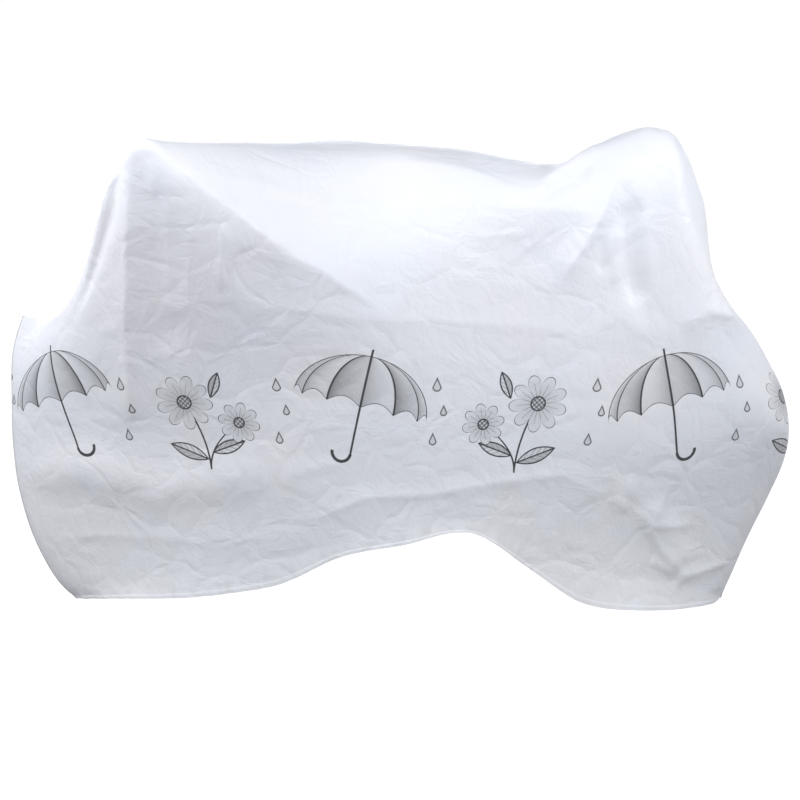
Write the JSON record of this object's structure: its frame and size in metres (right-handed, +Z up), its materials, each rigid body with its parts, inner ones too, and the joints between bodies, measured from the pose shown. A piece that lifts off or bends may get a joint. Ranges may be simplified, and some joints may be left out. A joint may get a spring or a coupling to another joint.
{
  "type": "bicycle cover",
  "caption": "Milky see-through bicycle cover with a printed band, draped as over a bicycle: hollow, folded at the top, seamed at both ends, open at the hem.",
  "frame": {"origin": "centre of the bounding box in plan, at the height of the lowest point of the hem", "axes": "+X towards the rear of the bicycle it covers, +Y away from the side shown, +Z up"},
  "size_m": [1.797, 0.5986, 1.0822],
  "materials": {
    "milky film": "satin, milky see-through"
  },
  "bodies": {
    "root": {"cover": "milky film"}
  },
  "joints": []
}
